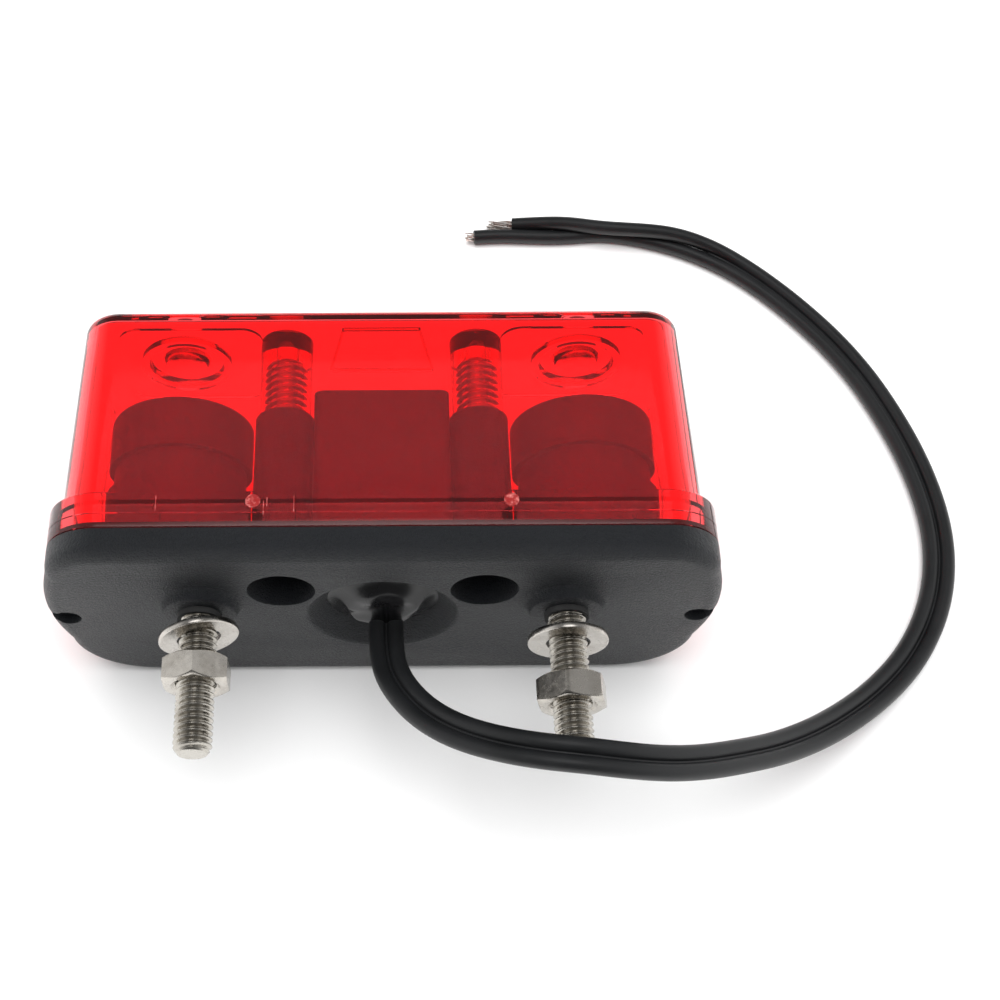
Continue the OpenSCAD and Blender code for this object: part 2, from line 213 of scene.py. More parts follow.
def piece(name, verts, faces, body, slot_name, material, angle=32, at_back=True):
    """A new piece. Points are in millimetres, with depth measured from the flat back face."""
    shift = BACK if at_back else 0
    mesh = bpy.data.meshes.new(name)
    mesh.from_pydata([(x * MM, (y + shift) * MM, z * MM) for x, y, z in verts], [], faces)
    bm = bmesh.new()
    bm.from_mesh(mesh)
    bmesh.ops.remove_doubles(bm, verts=bm.verts, dist=1e-7)
    bmesh.ops.recalc_face_normals(bm, faces=bm.faces)
    bm.to_mesh(mesh)
    bm.free()
    shade(mesh, angle)
    obj = bpy.data.objects.new(name, mesh)
    bpy.context.scene.collection.objects.link(obj)
    if material:
        mesh.materials.append(material)
    if body:
        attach(obj, body)
    return obj


def loft(rings, close_start=True, close_end=True, loop=False):
    """Faces between rings of the same number of points."""
    n = len(rings[0])
    verts = [p for r in rings for p in r]
    faces = []
    last = len(rings) if loop else len(rings) - 1
    for k in range(last):
        a, b = k * n, (k + 1) % len(rings) * n
        for s in range(n):
            t = (s + 1) % n
            faces.append((a + s, a + t, b + t, b + s))
    if not loop and close_start:
        faces.append(tuple(range(n - 1, -1, -1)))
    if not loop and close_end:
        base = (len(rings) - 1) * n
        faces.append(tuple(range(base, base + n)))
    return verts, faces


def lathe(profile, x, z, seg=64, loop=True):
    """Rings about an axis along Y through (x, z): profile is (depth, radius) pairs."""
    rings = [[(x + r * cos(2 * pi * s / seg), y, z + r * sin(2 * pi * s / seg)) for s in range(seg)]
             for y, r in profile]
    return loft(rings, loop=loop, close_start=not loop, close_end=not loop)


def outline(inset, depth, steps=14):
    """The outline of the lamp at a depth, inset evenly from its edge."""
    side = BODY_W / 2 - BOW - inset
    low, high = max(CORNER_BOTTOM - inset, 0.5), max(CORNER_TOP - inset, 0.5)
    z_low, z_high = inset + low, BODY_H - inset - high
    right = []
    for k in range(steps + 1):
        a = -pi / 2 + pi / 2 * k / steps
        right.append((side - low + low * cos(a), z_low + low * sin(a)))
    for k in range(1, 10):
        t = k / 10
        right.append((side + BOW * 4 * t * (1 - t), z_low + (z_high - z_low) * t))
    for k in range(steps + 1):
        a = pi / 2 * k / steps
        right.append((side - high + high * cos(a), z_high + high * sin(a)))
    left = [(-x, z) for x, z in reversed(right)]
    return [(x, depth, z) for x, z in right + left]


def evaluated(obj):
    """Applies the modifiers of obj to its mesh."""
    dg = bpy.context.evaluated_depsgraph_get()
    dg.update()
    mesh = bpy.data.meshes.new_from_object(obj.evaluated_get(dg))
    obj.modifiers.clear()
    old = obj.data
    obj.data = mesh
    bpy.data.meshes.remove(old)


def boolean(obj, tools, operation):
    """Applies tools to obj and throws them away."""
    for t in tools:
        m = obj.modifiers.new("b", "BOOLEAN")
        m.object = t
        m.operation = operation
        m.solver = "EXACT"
        evaluated(obj)
        bpy.data.objects.remove(t)


def tool(verts, faces):
    """A throwaway shape for boolean()."""
    return piece("tool", verts, faces, None, None, None)


def rod(x, z, start, end, r_start, r_end=None, seg=64):
    r_end = r_start if r_end is None else r_end
    return tool(*lathe([(start, r_start), (end, r_end)], x, z, seg, loop=False))


def block(low, high):
    (a, b, c), (d, e, f) = low, high
    verts = [(x, y, z) for x in (a, d) for y in (b, e) for z in (c, f)]
    faces = [(0, 1, 3, 2), (4, 6, 7, 5), (0, 4, 5, 1), (2, 3, 7, 6), (0, 2, 6, 4), (1, 5, 7, 3)]
    return tool(verts, faces)


def bevel(obj, width, segments=2, angle=38):
    m = obj.modifiers.new("edges", "BEVEL")
    m.width = width * MM
    m.segments = segments
    m.limit_method = "ANGLE"
    m.angle_limit = math.radians(angle)
    m.use_clamp_overlap = True
    evaluated(obj)


# ---------------------------------------------------------------- cable

ROUTE = [
    (0.5, 0.8, 19.4, 0), (0.5, -3, 19.6, 0), (1, -8.5, 20.8, 0), (3.5, -13.5, 22.6, 0),
    (7, -17.7, 24.6, 0), (11.5, -21, 26.8, 0), (17, -23.6, 29.2, 0), (23, -25.4, 31.1, 0),
    (29, -26.2, 31.5, 0), (35, -26.5, 30.1, 0), (41.5, -26, 27.1, 0), (48, -24.5, 23.3, 0),
    (55, -22, 18.7, 0), (62, -19.1, 14.1, 0), (69, -15.4, 9.9, 0), (75.5, -11.2, 6.5, 0),
    (82, -6.2, 3.7, 0), (88, -0.4, 2, 0), (92.5, 5.8, 1.4, 0), (95.7, 12.5, 1.4, 0),
    (97.6, 20, 1.4, 0), (98, 27.5, 1.4, 0), (97.2, 35, 1.4, 0), (95.5, 42.5, 1.4, 0),
    (93, 50, 1.4, 0), (89.8, 57.5, 1.4, 0), (85.8, 64.5, 1.4, 0), (81.2, 70.8, 1.4, 0),
    (76.2, 76.6, 1.4, 0), (70.5, 82, 1.5, 5), (64, 86.3, 2, 25), (57, 89, 2.6, 60),
    (50, 90.4, 2.8, 90), (43, 91.2, 2.8, 100), (36.5, 91.8, 2.4, 50), (31, 92.3, 1.8, 18),
    (26, 92.6, 1.4, 0)]
INNER_TAIL = [(22.5, 91.3, 1.4), (18.4, 91, 1.4)]
PAIR = 1.4
CORE = 1.35
WIRE_R = 0.15
CABLE_STEP, WEB_END, WEB_R = 1.3, 31, 0.5
BARE = {"outer": (7, 13), "inner": (3.4, 7)}


def core_points(side):
    """Middle line of one core, beside the route of the pair."""
    mid = [Vector((x, y + BACK, z)) for x, y, z, _ in ROUTE]
    pts = []
    for k, p in enumerate(mid):
        t = (mid[min(k + 1, len(mid) - 1)] - mid[max(k - 1, 0)]).normalized()
        n = Vector((-t.y, t.x, 0)).normalized()
        w = math.radians(ROUTE[k][3])
        pts.append(p + side * PAIR * (cos(w) * n - sin(w) * Vector((0, 0, 1))))
    if side > 0:
        pts += [Vector((x, y + BACK, z)) for x, y, z in INNER_TAIL]
    return pts


def web_line():
    """Middle of the thin web that joins the two cores, along the stretch where they stay together."""
    pair = [smooth_line(core_points(side)[:WEB_END], CABLE_STEP) for side in (-1, 1)]
    count = min(len(line) for line in pair)
    return [(pair[0][min(round(k / (count - 1) * (len(pair[0]) - 1)), len(pair[0]) - 1)]
             + pair[1][min(round(k / (count - 1) * (len(pair[1]) - 1)), len(pair[1]) - 1)]) / 2
            for k in range(count)]


def smooth_line(pts, step):
    """Points every step or so along a smooth curve through pts."""
    fine = []
    for k in range(len(pts) - 1):
        p0, p1, p2, p3 = pts[max(k - 1, 0)], pts[k], pts[k + 1], pts[min(k + 2, len(pts) - 1)]
        n = max(2, round((p2 - p1).length / step))
        for s in range(n):
            t = s / n
            fine.append(0.5 * (2 * p1 + (p2 - p0) * t + (2 * p0 - 5 * p1 + 4 * p2 - p3) * t * t
                               + (3 * p1 - 3 * p2 + p3 - p0) * t ** 3))
    fine.append(pts[-1].copy())
    for _ in range(6):
        fine = [fine[0]] + [(fine[k - 1] + 2 * fine[k] + fine[k + 1]) / 4
                            for k in range(1, len(fine) - 1)] + [fine[-1]]
    return fine


def tube(name, pts, radius, slot_name, material, sides=28):
    """A round tube along pts, with softened ends."""
    rings = []
    for k, p in enumerate(pts):
        t = (pts[min(k + 1, len(pts) - 1)] - pts[max(k - 1, 0)]).normalized()
        n = Vector((-t.y, t.x, 0)).normalized() if abs(t.z) < 0.99 else Vector((1, 0, 0))
        b = t.cross(n)
        rings.append([tuple(p + radius * (cos(2 * pi * s / sides) * n + sin(2 * pi * s / sides) * b))
                      for s in range(sides)])
    for end, inner in ((0, 1), (-1, -2)):
        t = (pts[end] - pts[inner]).normalized()
        c = pts[end]
        cap = [tuple(c + (Vector(q) - c) * 0.86 + t * 0.1) for q in rings[end]]
        rings.insert(0 if end == 0 else len(rings), cap)
    v, f = loft(rings)
    return piece(name, v, f, "lamp", slot_name, material, at_back=False, angle=60)


def cable_material():
    mat, nt, bsdf, out = new_material("cable_black")
    fine = noise_tex(nt, 3200, 2.0, 0.5)
    broad = noise_tex(nt, 140, 3.0, 0.6)
    nt.links.new(ramp(nt, broad, [(0.3, (0.006, 0.0065, 0.007)), (0.7, (0.01, 0.0105, 0.0115))]),
                 bsdf.inputs["Base Color"])
    nt.links.new(remap(nt, broad, 0.3, 0.7, 0.38, 0.5), bsdf.inputs["Roughness"])
    bump(nt, bsdf, fine, 0.12, 0.00004)
    return mat


def strand_material():
    mat, nt, bsdf, out = new_material("tinned_strands")
    bsdf.inputs["Metallic"].default_value = 1.0
    spots = noise_tex(nt, 1500, 3.0, 0.6)
    nt.links.new(ramp(nt, spots, [(0.35, (0.75, 0.62, 0.55)), (0.65, (0.9, 0.87, 0.84))]),
                 bsdf.inputs["Base Color"])
    nt.links.new(remap(nt, spots, 0.3, 0.7, 0.2, 0.4), bsdf.inputs["Roughness"])
    return mat


def strands(name, tip, direction, length, count, material):
    """A twisted bundle of fine bare wires past the end of a core."""
    side = Vector((-direction.y, direction.x, 0)).normalized()
    up = direction.cross(side)
    verts, faces = [], []
    for w in range(count):
        ring = 0.0 if w == 0 else 0.42 + 0.22 * (w % 2)
        start = 2 * pi * w / max(count - 1, 1)
        reach = length * (0.82 + 0.18 * noise.noise(Vector((w * 3.7, 1.3, 0))))
        pts = []
        for k in range(13):
            t = k / 12
            a = start + 1.9 * t
            r = ring * (1 + 0.35 * t)
            pts.append(tip + direction * (reach * t - 1.2) + r * (cos(a) * side + sin(a) * up))
        rings = []
        for k, p in enumerate(pts):
            d = (pts[min(k + 1, 12)] - pts[max(k - 1, 0)]).normalized()
            n = d.cross(up).normalized()
            b = d.cross(n)
            rings.append([tuple(p + WIRE_R * (cos(2 * pi * s / 8) * n + sin(2 * pi * s / 8) * b))
                          for s in range(8)])
        v, f = loft(rings)
        v = [(x, y, max(z, 0)) for x, y, z in v]
        faces += [tuple(i + len(verts) for i in face) for face in f]
        verts += v
    return piece(name, verts, faces, "lamp", "tinned_copper", material, at_back=False, angle=60)


black_cable = cable_material()
bare_metal = strand_material()
for which, side in (("outer", -1), ("inner", 1)):
    line = smooth_line(core_points(side), CABLE_STEP)
    core = tube("cable_" + which, line, CORE, "cable_cover", black_cable)
    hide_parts("cable_core_" + which)
    extras = []
    if which == "outer":
        extras = [tube("cable_web", web_line(), WEB_R, "cable_cover", black_cable, sides=12)]
    out_dir = (line[-1] - line[-3]).normalized()
    reach, count = BARE[which]
    wires = strands("strands_" + which, line[-1], out_dir, reach, count, bare_metal)
    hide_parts("bare_end_" + which)

# ---------------------------------------------------------------- housing

black_plastic = grained_plastic("housing_black", (0.0072, 0.0084, 0.0105), (0.0096, 0.0112, 0.014),
                               3000, 0.9, 0.3, 0.46)
EDGE, WALL = 2.3, 2.2
LIP_INSET, CAVITY_INSET = 3.6, 5
STUD_HOLE_R, OUTLET_R = 3.02, 10.1
CUP_DEPTH, CUP_R, SHAFT_DEPTH, SHAFT_R = 5.9, 6.1, 29.6, 4.7
MOUTH_DEPTH, MOUTH_R, RECESS_DEPTH, RECESS_R, SCREW_HOLE_R = 5, 5.2, 26.8, 3.5, 1.9
DRAIN_R, DRAIN_IN, DRAIN_Z, DRAIN_DEPTH = 2.1, 3.2, 22.3, 1.5
NOTCH_IN, NOTCH_OUT, NOTCH_LOW, NOTCH_HIGH = 49.3, 60, 20.9, 23.7


def notch(side):
    """Slot that opens a drain hole to the short side of the housing."""
    inner, outer = side * NOTCH_IN, side * NOTCH_OUT
    return block((min(inner, outer), -1, NOTCH_LOW), (max(inner, outer), DRAIN_DEPTH, NOTCH_HIGH))


def fillet_rings(radius, steps=7):
    """Insets and depths round the edge of the back face."""
    return [(radius * (1 - sin(pi / 2 * k / steps)), radius * (1 - cos(pi / 2 * k / steps)))
            for k in range(steps + 1)]


rings = [outline(i, d) for i, d in fillet_rings(EDGE)]
rings.append(outline(0, SEAM - 0.1))
rings.append(outline(0.1, SEAM))
housing = piece("housing", *loft(rings), "lamp", "black_plastic", black_plastic)
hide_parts("base_housing", "screw_tube_left", "screw_tube_right")
boolean(housing, [tool(*loft([outline(LIP_INSET, 3), outline(LIP_INSET, SEAM + 2.2)]))], "UNION")
boolean(housing, [tool(*loft([outline(CAVITY_INSET, WALL), outline(CAVITY_INSET, SEAM + 9)]))], "DIFFERENCE")
for s in (-1, 1):
    x = s * STUD_X
    swell = [(1.0, 7.2), (0.0, 6.75), (-0.2, 6.3), (-0.5, 6.0), (-1.4, 5.75), (-1.7, 5.6), (-BOSS_H, 5.4)]
    boolean(housing, [tool(*lathe(swell, x, STUD_Z, 72, loop=False))], "UNION")
    boolean(housing, [rod(s * SCREW_X, SCREW_Z, 1, CUP_DEPTH, CUP_R),
                      rod(s * SCREW_X, SCREW_Z, 1, SHAFT_DEPTH, SHAFT_R)], "UNION")
boolean(housing, [tool(*lathe([(1, OUTLET_R), (SEAM + 2, OUTLET_R)], 0, OUTLET_Z, 72, loop=False))], "UNION")
funnel = [(-0.6, 12.3), (-0.2, 12.3), (0, 12.0), (0.25, 11.6), (0.7, 11.2), (1.6, 10.3),
          (2.6, 9), (3, 8.7), (SEAM + 3, 8.7)]
boolean(housing, [tool(*lathe(funnel, 0, OUTLET_Z, 96, loop=False))], "DIFFERENCE")
for s in (-1, 1):
    drain = lathe([(-1, DRAIN_R), (DRAIN_DEPTH, DRAIN_R)], s * (BODY_W / 2 - DRAIN_IN), DRAIN_Z, 40,
                  loop=False)
    boolean(housing, [rod(s * STUD_X, STUD_Z, -3, 4, STUD_HOLE_R),
                      rod(s * SCREW_X, SCREW_Z, -1, MOUTH_DEPTH, MOUTH_R),
                      rod(s * SCREW_X, SCREW_Z, -1, RECESS_DEPTH, RECESS_R),
                      rod(s * SCREW_X, SCREW_Z, 20, 31, SCREW_HOLE_R, seg=32),
                      tool(*drain),
                      notch(s)], "DIFFERENCE")
bevel(housing, 0.22, 2, 40)
shade(housing.data, 36)

# ---------------------------------------------------------------- lens


def red_material(name, tint, shadow_tint, rough=0.02):
    """Clear red moulded plastic."""
    mat, nt, bsdf, out = new_material(name)
    bsdf.inputs["Base Color"].default_value = (*tint, 1)
    bsdf.inputs["Transmission Weight"].default_value = 0.988
    bsdf.inputs["IOR"].default_value = 1.49
    wave = noise_tex(nt, 45, 2.0, 0.4)
    haze = noise_tex(nt, 500, 4.0, 0.6)
    nt.links.new(remap(nt, haze, 0.4, 0.8, rough, rough + 0.06), bsdf.inputs["Roughness"])
    bump(nt, bsdf, wave, 0.12, 0.0003)
    clear = add(nt, "ShaderNodeBsdfTransparent")
    clear.inputs[0].default_value = (*shadow_tint, 1)
    path = add(nt, "ShaderNodeLightPath")
    mix = add(nt, "ShaderNodeMixShader")
    nt.links.new(path.outputs["Is Shadow Ray"], mix.inputs[0])
    nt.links.new(bsdf.outputs[0], mix.inputs[1])
    nt.links.new(clear.outputs[0], mix.inputs[2])
    nt.links.new(mix.outputs[0], out.inputs[0])
    return mat


red_clear = red_material("lens_red", (0.985, 0.075, 0.085), (0.85, 0.55, 0.55))

STEP, DRAFT, THICK, ROUND, INNER_ROUND = 1.8, 0.9, 1.6, 2.4, 0.9
outer = [(3.4, SEAM + 0.05), (1.2, SEAM + 0.05), (0.35, SEAM + 0.05), (0.08, SEAM + 0.18), (0, SEAM + 0.45),
         (0, 7.3), (0.1, 7.4), (0, 7.5), (0, FLANGE - 0.7), (0.1, FLANGE - 0.3), (0.35, FLANGE - 0.06),
         (0.7, FLANGE), (STEP - 0.3, FLANGE), (STEP - 0.08, FLANGE + 0.12), (STEP, FLANGE + 0.5)]
for k in range(1, 6):
    t = k / 6
    outer.append((STEP + DRAFT * t, FLANGE + 0.5 + (FRONT - ROUND - FLANGE - 0.5) * t))
for k in range(10):
    a = pi / 2 * k / 9
    outer.append((STEP + DRAFT + ROUND * (1 - cos(a)), FRONT - ROUND + ROUND * sin(a)))
straight = FRONT - THICK - INNER_ROUND
inner = []
for k in range(8):
    a = pi / 2 * (1 - k / 7)
    inner.append((STEP + DRAFT + THICK + INNER_ROUND * (1 - cos(a)), straight + INNER_ROUND * sin(a)))
for k in range(1, 5):
    t = k / 5
    inner.append((STEP + THICK + DRAFT * (1 - t), straight - (straight - SEAM - 1) * t))
shell_rings = [outline(i, d) for i, d in outer]
n = len(shell_rings[0])
inner_rings = [outline(i, d) for i, d in inner]
verts, faces = loft(shell_rings, close_start=False)
offset = len(verts)
v2, f2 = loft(inner_rings, close_start=True, close_end=False)
verts += v2
faces += [tuple(i + offset for i in f) for f in f2]
last = offset + (len(inner_rings) - 1) * n
faces += [(last + s, last + (s + 1) % n, (s + 1) % n, s) for s in range(n)]
lens = piece("lens_shell", verts, faces, "lamp", "red_lens", red_clear)
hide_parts("lens")
inside = FRONT - THICK


def pad(x, z, width, height, radius, start, end):
    """A rounded plate lying parallel to the back face."""
    points = []
    for k in range(32):
        a = 2 * pi * k / 32
        corner_x = math.copysign(width / 2 - radius, cos(a + 0.01))
        corner_z = math.copysign(height / 2 - radius, sin(a + 0.01))
        points.append((x + corner_x + radius * cos(a), z + corner_z + radius * sin(a)))
    return tool(*loft([[(px, y, pz) for px, pz in points] for y in (start, end)]))


RING_Z = WELL_Z + 1.5
for s in (-1, 1):
    x = s * WELL_X
    boolean(lens, [rod(s * SCREW_X, SCREW_Z, 29.65, inside + 0.5, 4.1, 4.3)], "UNION")
    boolean(lens, [rod(s * SCREW_X, SCREW_Z, 28, inside - 2.2, 1.58, seg=40)], "DIFFERENCE")
    boolean(lens, [pad(s * 31.3, 26.3, 23.6, 20.6, 3.5, inside - 0.45, inside + 0.4)], "UNION")
    boolean(lens, [rod(x, RING_Z, inside - 1.5, inside + 0.5, 7.5, seg=80)], "UNION")
    boolean(lens, [rod(x, RING_Z, inside - 1.8, inside - 0.1, 6.3, 6.0, seg=80)], "DIFFERENCE")
    dome = [(inside - 1.9, 2.6), (inside - 1.5, 3.4), (inside + 0.5, 4.1)]
    boolean(lens, [tool(*lathe(dome, x, RING_Z, 64, loop=False))], "UNION")
shade(lens.data, 30)


def scuffed_material():
    mat, nt, bsdf, out = new_material("scuffed_red")
    grit = noise_tex(nt, 1500, 4.0, 0.7)
    colour = ramp(nt, grit, [(0.48, (0.3, 0.012, 0.012)), (0.7, (0.75, 0.24, 0.22))])
    nt.links.new(colour, bsdf.inputs["Base Color"])
    nt.links.new(remap(nt, grit, 0.3, 0.7, 0.3, 0.6), bsdf.inputs["Roughness"])
    bump(nt, bsdf, grit, 0.8, 0.0003)
    return mat


def gate_mark(side):
    """Rough dot left on the flange where the plastic was let in."""
    rings = []
    for r, height in ((1.15, -0.05), (1.1, 0.08), (0.8, 0.18), (0.5, 0.08), (0.2, 0.18)):
        ring = []
        for k in range(28):
            a = 2 * pi * k / 28
            x, y = side * 19.2 + r * cos(a), 9.3 + r * sin(a)
            rough = noise.noise(Vector((x * 2.1, y * 2.1, side)))
            ring.append((x + 0.12 * rough, y, BODY_H + height + 0.09 * rough))
        rings.append(ring)
    name = "gate_mark_" + ("left" if side < 0 else "right")
    piece(name, *loft(rings), "lamp", "red_lens", scuffed)


def scratches():
    """Short pale scratches on the flange: place along the lamp, and depth from end to end."""
    verts, faces = [], []
    for x, start, end in ((-33.6, 7.8, 10.4), (-17.6, 7.0, 9.4), (-13.1, 7.4, 10.2), (-17.1, 8.4, 9.9)):
        k = len(verts)
        for dx, dz in ((-0.07, 0), (0.07, 0), (0, 0.02)):
            verts += [(x + dx, start, BODY_H + dz - 0.005), (x + dx, end, BODY_H + dz - 0.005)]
        faces += [(k, k + 1, k + 5, k + 4), (k + 2, k + 4, k + 5, k + 3), (k, k + 2, k + 3, k + 1),
                  (k, k + 4, k + 2), (k + 1, k + 3, k + 5)]
    piece("scratches", verts, faces, "lamp", "red_lens", scuffed)


scuffed = scuffed_material()
gate_mark(-1)
gate_mark(1)
scratches()

# ---------------------------------------------------------------- potting

def potting_material():
    mat, nt, bsdf, out = new_material("potting_black")
    broad = noise_tex(nt, 120, 3.0, 0.5)
    colour = ramp(nt, broad, [(0.3, (0.0035, 0.0035, 0.004)), (0.7, (0.006, 0.006, 0.007))])
    nt.links.new(colour, bsdf.inputs["Base Color"])
    nt.links.new(remap(nt, broad, 0.3, 0.7, 0.2, 0.32), bsdf.inputs["Roughness"])
    bump(nt, bsdf, noise_tex(nt, 260, 2.0, 0.4), 0.2, 0.0004)
    return mat


potting = potting_material()
TURNS = 72
EDGE_R, EDGE_DEPTH = 8.75, 2.9
exit_x, exit_z = ROUTE[0][0], ROUTE[0][2]


def mound_depth(x, z, r):
    """Depth of the poured surface: low at its rim, swollen above the cable and drawn out along it."""
    rise = min(1, (1 - r / EDGE_R) * 2.6)
    swell = 2.5 * math.exp(-((x / 7.6) ** 4 + ((z - OUTLET_Z - 0.3) / 6.5) ** 4))
    collar = 0.6 * math.exp(-((x - exit_x) / 3.4) ** 2 - ((z - exit_z) / 1.8) ** 2)
    wave = 0.5 * noise.noise(Vector((x * 0.26, z * 0.34, 2.1)))
    return EDGE_DEPTH - (swell + collar + wave) * rise


rings = []
for k in range(26):
    r = EDGE_R * (1 - k / 25)
    points = [(r * cos(2 * pi * t / TURNS), OUTLET_Z + r * sin(2 * pi * t / TURNS)) for t in range(TURNS)]
    rings.append([(x, mound_depth(x, z, r), z) for x, z in points])
back_ring = [(x, SEAM, z) for x, _, z in rings[0]]
v, f = loft([back_ring] + rings[:-1], close_start=True, close_end=True)
plug = piece("potting", v, f, "lamp", "potting", potting, angle=70)
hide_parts("potting_plug")

# ---------------------------------------------------------------- threaded studs, nuts and washers

zinc = metal("zinc_screw", (0.5, 0.48, 0.45), (0.3, 0.27, 0.24), 0.35)
steel = metal("stainless_thread", (0.5, 0.475, 0.43), (0.33, 0.305, 0.265), 0.26, 0.03)
steel_bright = metal("stainless_nut", (0.55, 0.52, 0.475), (0.42, 0.39, 0.345), 0.24, 0.02)
steel_washer = metal("stainless_washer", (0.6, 0.57, 0.53), (0.47, 0.44, 0.4), 0.24, 0.03)


def thread_radius(turn, crest, root):
    """Rounded V profile over one turn of thread, 0 to 1."""
    t = abs(turn % 1 - 0.5) * 2
    if t < 0.12:
        return root
    if t > 0.84:
        return crest
    return root + (crest - root) * (t - 0.12) / 0.72


def thread_rod(x, z, start, end, crest, root, chamfer, seg=48, per_turn=10, pitch=1.0):
    """Closed threaded rod along Y, with its free end chamfered at start."""
    rings = []
    steps = round(abs(end - start) * per_turn / pitch)
    for k in range(steps + 1):
        y = start + (end - start) * k / steps
        ring = []
        for s in range(seg):
            a = 2 * pi * s / seg
            r = thread_radius(y / pitch + s / seg, crest, root)
            r = min(r, crest - max(0, chamfer - abs(y - start)) * 0.8)
            ring.append((x + r * cos(a), y, z + r * sin(a)))
        rings.append(ring)
    tip_y = start - math.copysign(0.02, end - start)
    rings.insert(0, [(x + (q[0] - x) * 0.55, tip_y, z + (q[2] - z) * 0.55) for q in rings[0]])
    return loft(rings)


def hex_radius(angle, flats, turn):
    a = (angle - turn) % (pi / 3) - pi / 6
    return flats / 2 / cos(a)


def nut_mesh(x, z, start, end, turn, flats=9.8, bore=3.02, root=3.35, seg=96):
    """Chamfered hexagon nut with a threaded bore."""
    face_r = flats / 2 - 0.12
    tan30 = math.tan(pi / 6)
    rings = []

    def ring(fn):
        out = []
        for s in range(seg):
            a = 2 * pi * s / seg
            r, y = fn(a, s)
            out.append((x + r * cos(a), y, z + r * sin(a)))
        return out

    def hexr(a):
        return hex_radius(a, flats, turn)

    def drop(a):
        return max(0.0, (hexr(a) - face_r) * tan30)

    soft = 0.09
    rings.append(ring(lambda a, s: (face_r * 0.96, start)))
    rings.append(ring(lambda a, s: (face_r, start + 0.02)))
    rings.append(ring(lambda a, s: (hexr(a) - soft, start + drop(a) - soft * 0.4 + 0.02)))
    rings.append(ring(lambda a, s: (hexr(a), start + drop(a) + soft)))
    rings.append(ring(lambda a, s: (hexr(a), end - drop(a) - soft)))
    rings.append(ring(lambda a, s: (hexr(a) - soft, end - drop(a) + soft * 0.4 - 0.02)))
    rings.append(ring(lambda a, s: (face_r, end - 0.02)))
    rings.append(ring(lambda a, s: (face_r * 0.96, end)))
    rings.append(ring(lambda a, s: (bore + 0.75, end)))
    rings.append(ring(lambda a, s: (bore + 0.3, end - 0.42)))
    n_in = 24
    for k in range(n_in + 1):
        y = end - 0.45 - (end - start - 0.9) * k / n_in
        rings.append(ring(lambda a, s, y=y: (
            bore + root - thread_radius(y + s / seg + 0.5, root, bore), y)))
    rings.append(ring(lambda a, s: (bore + 0.3, start + 0.42)))
    rings.append(ring(lambda a, s: (bore + 0.75, start)))
    return loft(rings, loop=True)


STUD_END, STUD_CREST, STUD_ROOT, STUD_CHAMFER = 2.2, 2.95, 2.36, 0.9
SCREW_CREST, SCREW_ROOT, SCREW_CHAMFER, SCREW_PITCH = 2.1, 1.5, 1.2, 1.3
NUT_TURN = {"left": 90, "right": 104}
WASHER_TILT = {"left": 11, "right": 0}

for name, s in (("left", -1), ("right", 1)):
    x = s * STUD_X
    v, f = thread_rod(x, STUD_Z, -TIP, STUD_END, STUD_CREST, STUD_ROOT, STUD_CHAMFER, seg=64, per_turn=16)
    rod_piece = piece("stud_thread_" + name, v, f, "lamp", "stainless", steel, angle=50)
    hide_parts("stud_" + name)
    low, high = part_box("lens_screw_" + name)
    head_y, tip_y = low.y / MM - BACK, high.y / MM - BACK
    v, f = thread_rod(s * SCREW_X, SCREW_Z, tip_y, head_y + 1.8, SCREW_CREST, SCREW_ROOT, SCREW_CHAMFER,
                      seg=40, pitch=SCREW_PITCH)
    shaft = piece("screw_thread_" + name, v, f, "lamp", "zinc_steel", zinc, angle=50)
    head = [(head_y + 2.2, 2), (head_y + 2.2, 3), (head_y + 0.5, 3), (head_y, 2.6), (head_y, 1.1),
            (head_y + 1.1, 0.5)]
    v, f = lathe(head, s * SCREW_X, SCREW_Z, 40, loop=False)
    piece("screw_head_" + name, v, f, "lamp", "zinc_steel", zinc, angle=30)
    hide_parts("lens_screw_" + name)
    low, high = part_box("nut_" + name)
    v, f = nut_mesh(x, STUD_Z, low.y / MM - BACK, high.y / MM - BACK, math.radians(NUT_TURN[name]))
    nut = piece("hex_nut_" + name, v, f, "nut_" + name, "stainless", steel_bright, angle=28)
    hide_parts("nut_" + name)
    low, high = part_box("washer_" + name)
    c = (low + high) / 2 / MM
    prof = [(-0.5, 3.42), (-0.5, 6.0), (-0.42, 6.15), (-0.3, 6.2), (0.3, 6.2), (0.42, 6.15), (0.5, 6.0),
            (0.5, 3.42), (0.42, 3.35), (-0.42, 3.35)]
    v, f = lathe(prof, 0, 0, 96)
    tilt = Matrix.Rotation(math.radians(WASHER_TILT[name]), 3, "Z")
    v = [tuple(tilt @ Vector(p) + Vector((c.x, c.y - BACK, c.z))) for p in v]
    washer = piece("flat_washer_" + name, v, f, "washer_" + name, "stainless", steel_washer, angle=28)
    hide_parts("washer_" + name)

# ---------------------------------------------------------------- finishes of the kept CAD pieces


def repaint(node, material):
    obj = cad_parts[node]
    for k in range(len(obj.material_slots)):
        obj.material_slots[k].material = material
    if not obj.material_slots:
        obj.data.materials.append(material)


def speckled(name, low, high, rough, scale=400):
    mat, nt, bsdf, out = new_material(name)
    spots = noise_tex(nt, scale, 4.0, 0.6)
    nt.links.new(ramp(nt, spots, [(0.3, low), (0.7, high)]), bsdf.inputs["Base Color"])
    nt.links.new(remap(nt, spots, 0.3, 0.7, rough * 0.8, rough * 1.2), bsdf.inputs["Roughness"])
    bump(nt, bsdf, noise_tex(nt, scale * 5, 2.0, 0.5), 0.2, 0.00005)
    return mat


